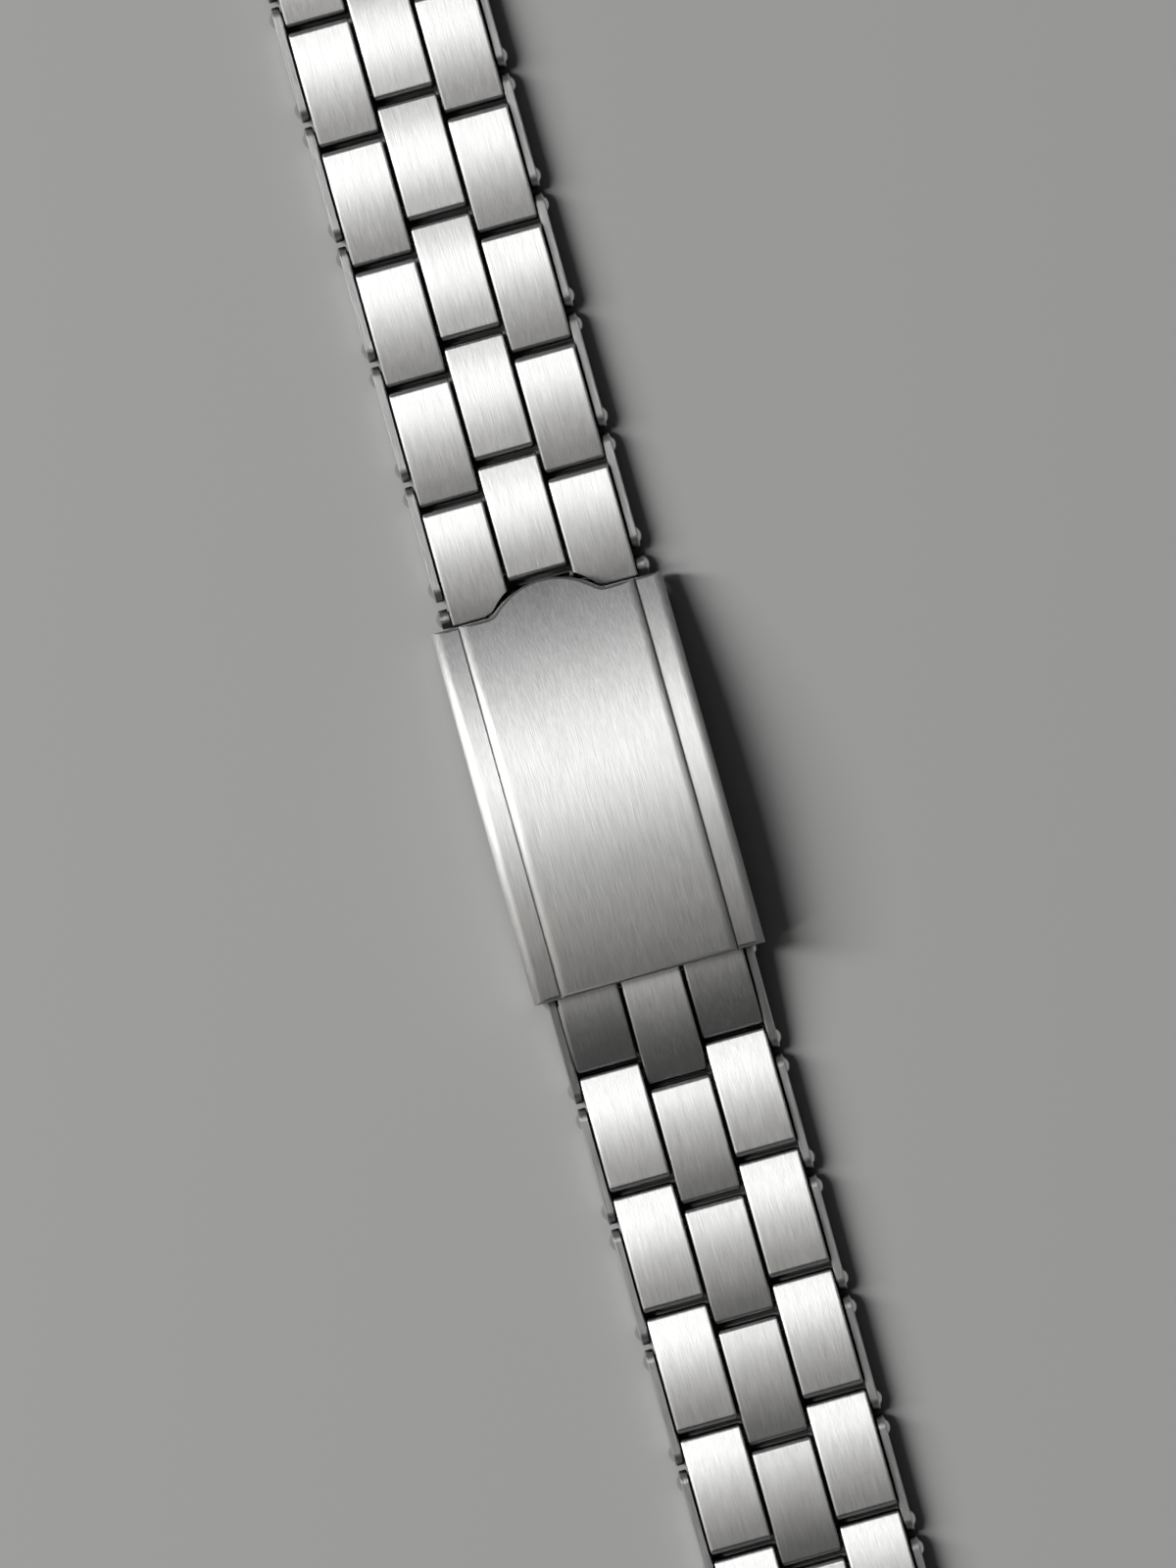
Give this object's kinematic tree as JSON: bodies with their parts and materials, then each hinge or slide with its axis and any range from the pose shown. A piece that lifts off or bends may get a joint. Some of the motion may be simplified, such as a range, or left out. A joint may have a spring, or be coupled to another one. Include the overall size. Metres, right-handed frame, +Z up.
{
  "type": "link watch bracelet",
  "caption": "Narrow metal watch bracelet of riveted folded-strip links with a wide folding clasp in the middle and end pieces for a watch's lugs.",
  "frame": {"origin": "middle of the laid-out bracelet's bounding box, on the surface that it lies on", "axes": "+Y along the bracelet towards the half that meets the clasp's tongue, +X across it, +Z up through the outer face"},
  "size_m": [0.0178, 0.1388, 0.0052],
  "materials": {
    "brushed_links": "brushed lengthwise",
    "brushed_cover": "brushed lengthwise",
    "polished_plates": "polished",
    "polished_rivets": "polished",
    "polished_blades": "polished",
    "spring_bars": "satin"
  },
  "bodies": {
    "clasp_base": {"clasp_lower_blade": "polished_blades", "clasp_blade_hinge_pin": "polished_rivets", "clasp_end_pin": "polished_rivets", "clasp_end_bushes": "polished_plates"},
    "clasp_fold": {"clasp_upper_blade": "polished_blades"},
    "clasp_top": {"clasp_cover": "brushed_cover", "clasp_cover_hinge_pin": "polished_rivets", "clasp_spring_bar": "spring_bars"},
    "upper_outer_1": {"upper_outer_links_1": "brushed_links"},
    "upper_centre_1": {"upper_centre_link_1": "brushed_links", "upper_side_plates_1": "polished_plates", "upper_rivets_1": "polished_rivets"},
    "upper_outer_2": {"upper_outer_links_2": "brushed_links"},
    "upper_centre_2": {"upper_centre_link_2": "brushed_links", "upper_side_plates_2": "polished_plates", "upper_rivets_2": "polished_rivets"},
    "upper_outer_3": {"upper_outer_links_3": "brushed_links"},
    "upper_centre_3": {"upper_centre_link_3": "brushed_links", "upper_side_plates_3": "polished_plates", "upper_rivets_3": "polished_rivets"},
    "upper_outer_4": {"upper_outer_links_4": "brushed_links"},
    "upper_centre_4": {"upper_centre_link_4": "brushed_links", "upper_side_plates_4": "polished_plates", "upper_rivets_4": "polished_rivets"},
    "upper_outer_5": {"upper_outer_links_5": "brushed_links"},
    "upper_centre_5": {"upper_centre_link_5": "brushed_links", "upper_side_plates_5": "polished_plates", "upper_rivets_5": "polished_rivets"},
    "upper_outer_6": {"upper_outer_links_6": "brushed_links"},
    "upper_centre_6": {"upper_centre_link_6": "brushed_links", "upper_side_plates_6": "polished_plates", "upper_rivets_6": "polished_rivets"},
    "upper_end": {"upper_end_piece": "brushed_links", "upper_end_spring_bar": "spring_bars"},
    "lower_outer_1": {"lower_outer_links_1": "brushed_links"},
    "lower_centre_1": {"lower_centre_link_1": "brushed_links", "lower_side_plates_1": "polished_plates", "lower_rivets_1": "polished_rivets"},
    "lower_outer_2": {"lower_outer_links_2": "brushed_links"},
    "lower_centre_2": {"lower_centre_link_2": "brushed_links", "lower_side_plates_2": "polished_plates", "lower_rivets_2": "polished_rivets"},
    "lower_outer_3": {"lower_outer_links_3": "brushed_links"},
    "lower_centre_3": {"lower_centre_link_3": "brushed_links", "lower_side_plates_3": "polished_plates", "lower_rivets_3": "polished_rivets"},
    "lower_outer_4": {"lower_outer_links_4": "brushed_links"},
    "lower_centre_4": {"lower_centre_link_4": "brushed_links", "lower_side_plates_4": "polished_plates", "lower_rivets_4": "polished_rivets"},
    "lower_outer_5": {"lower_outer_links_5": "brushed_links"},
    "lower_centre_5": {"lower_centre_link_5": "brushed_links", "lower_side_plates_5": "polished_plates", "lower_rivets_5": "polished_rivets"},
    "lower_outer_6": {"lower_outer_links_6": "brushed_links"},
    "lower_centre_6": {"lower_centre_link_6": "brushed_links", "lower_side_plates_6": "polished_plates", "lower_rivets_6": "polished_rivets"},
    "lower_end": {"lower_end_piece": "brushed_links", "lower_end_spring_bar": "spring_bars"}
  },
  "joints": [
    {"name": "blade_hinge", "type": "hinge", "parent": "clasp_base", "child": "clasp_fold", "pos_m": [0, -0.01039, 0.00085], "axis": [1, 0, 0], "range_deg": [0, 165]},
    {"name": "cover_hinge", "type": "hinge", "parent": "clasp_fold", "child": "clasp_top", "pos_m": [0, 0.00417, 0.00275], "axis": [1, 0, 0], "range_deg": [-165, 0]},
    {"name": "upper_outer_1_hinge", "type": "hinge", "parent": "clasp_base", "child": "upper_outer_1", "pos_m": [0, 0.01227, 0.00088], "axis": [-1, 0, 0], "range_deg": [-12, 25]},
    {"name": "upper_centre_1_hinge", "type": "hinge", "parent": "upper_outer_1", "child": "upper_centre_1", "pos_m": [0, 0.01432, 0.00099], "axis": [-1, 0, 0], "range_deg": [-8, 12]},
    {"name": "upper_outer_2_hinge", "type": "hinge", "parent": "upper_centre_1", "child": "upper_outer_2", "pos_m": [0, 0.02067, 0.00088], "axis": [-1, 0, 0], "range_deg": [-15, 25]},
    {"name": "upper_centre_2_hinge", "type": "hinge", "parent": "upper_outer_2", "child": "upper_centre_2", "pos_m": [0, 0.02272, 0.00099], "axis": [-1, 0, 0], "range_deg": [-8, 12]},
    {"name": "upper_outer_3_hinge", "type": "hinge", "parent": "upper_centre_2", "child": "upper_outer_3", "pos_m": [0, 0.02907, 0.00088], "axis": [-1, 0, 0], "range_deg": [-15, 25]},
    {"name": "upper_centre_3_hinge", "type": "hinge", "parent": "upper_outer_3", "child": "upper_centre_3", "pos_m": [0, 0.03111, 0.00099], "axis": [-1, 0, 0], "range_deg": [-8, 12]},
    {"name": "upper_outer_4_hinge", "type": "hinge", "parent": "upper_centre_3", "child": "upper_outer_4", "pos_m": [0, 0.03746, 0.00088], "axis": [-1, 0, 0], "range_deg": [-15, 25]},
    {"name": "upper_centre_4_hinge", "type": "hinge", "parent": "upper_outer_4", "child": "upper_centre_4", "pos_m": [0, 0.03951, 0.00099], "axis": [-1, 0, 0], "range_deg": [-8, 12]},
    {"name": "upper_outer_5_hinge", "type": "hinge", "parent": "upper_centre_4", "child": "upper_outer_5", "pos_m": [0, 0.04586, 0.00088], "axis": [-1, 0, 0], "range_deg": [-15, 25]},
    {"name": "upper_centre_5_hinge", "type": "hinge", "parent": "upper_outer_5", "child": "upper_centre_5", "pos_m": [0, 0.0479, 0.00099], "axis": [-1, 0, 0], "range_deg": [-8, 12]},
    {"name": "upper_outer_6_hinge", "type": "hinge", "parent": "upper_centre_5", "child": "upper_outer_6", "pos_m": [0, 0.05425, 0.00088], "axis": [-1, 0, 0], "range_deg": [-15, 25]},
    {"name": "upper_centre_6_hinge", "type": "hinge", "parent": "upper_outer_6", "child": "upper_centre_6", "pos_m": [0, 0.0563, 0.00099], "axis": [-1, 0, 0], "range_deg": [-8, 12]},
    {"name": "upper_end_hinge", "type": "hinge", "parent": "upper_centre_6", "child": "upper_end", "pos_m": [0, 0.06265, 0.00088], "axis": [-1, 0, 0], "range_deg": [-15, 25]},
    {"name": "lower_outer_1_hinge", "type": "hinge", "parent": "clasp_top", "child": "lower_outer_1", "pos_m": [0, -0.01239, 0.00231], "axis": [1, 0, 0], "range_deg": [-12, 20]},
    {"name": "lower_centre_1_hinge", "type": "hinge", "parent": "lower_outer_1", "child": "lower_centre_1", "pos_m": [0, -0.01441, 0.00197], "axis": [1, 0, 0], "range_deg": [-8, 12]},
    {"name": "lower_outer_2_hinge", "type": "hinge", "parent": "lower_centre_1", "child": "lower_outer_2", "pos_m": [0, -0.02067, 0.00092], "axis": [1, 0, 0], "range_deg": [-15, 25]},
    {"name": "lower_centre_2_hinge", "type": "hinge", "parent": "lower_outer_2", "child": "lower_centre_2", "pos_m": [0, -0.02272, 0.00104], "axis": [1, 0, 0], "range_deg": [-8, 12]},
    {"name": "lower_outer_3_hinge", "type": "hinge", "parent": "lower_centre_2", "child": "lower_outer_3", "pos_m": [0, -0.02907, 0.00088], "axis": [1, 0, 0], "range_deg": [-15, 25]},
    {"name": "lower_centre_3_hinge", "type": "hinge", "parent": "lower_outer_3", "child": "lower_centre_3", "pos_m": [0, -0.03111, 0.00099], "axis": [1, 0, 0], "range_deg": [-8, 12]},
    {"name": "lower_outer_4_hinge", "type": "hinge", "parent": "lower_centre_3", "child": "lower_outer_4", "pos_m": [0, -0.03746, 0.00088], "axis": [1, 0, 0], "range_deg": [-15, 25]},
    {"name": "lower_centre_4_hinge", "type": "hinge", "parent": "lower_outer_4", "child": "lower_centre_4", "pos_m": [0, -0.03951, 0.00099], "axis": [1, 0, 0], "range_deg": [-8, 12]},
    {"name": "lower_outer_5_hinge", "type": "hinge", "parent": "lower_centre_4", "child": "lower_outer_5", "pos_m": [0, -0.04586, 0.00088], "axis": [1, 0, 0], "range_deg": [-15, 25]},
    {"name": "lower_centre_5_hinge", "type": "hinge", "parent": "lower_outer_5", "child": "lower_centre_5", "pos_m": [0, -0.0479, 0.00099], "axis": [1, 0, 0], "range_deg": [-8, 12]},
    {"name": "lower_outer_6_hinge", "type": "hinge", "parent": "lower_centre_5", "child": "lower_outer_6", "pos_m": [0, -0.05425, 0.00088], "axis": [1, 0, 0], "range_deg": [-15, 25]},
    {"name": "lower_centre_6_hinge", "type": "hinge", "parent": "lower_outer_6", "child": "lower_centre_6", "pos_m": [0, -0.0563, 0.00099], "axis": [1, 0, 0], "range_deg": [-8, 12]},
    {"name": "lower_end_hinge", "type": "hinge", "parent": "lower_centre_6", "child": "lower_end", "pos_m": [0, -0.06265, 0.00088], "axis": [1, 0, 0], "range_deg": [-15, 25]}
  ],
  "couplings": [
    {"joint": "cover_hinge", "follows": "blade_hinge", "ratio": -1}
  ]
}
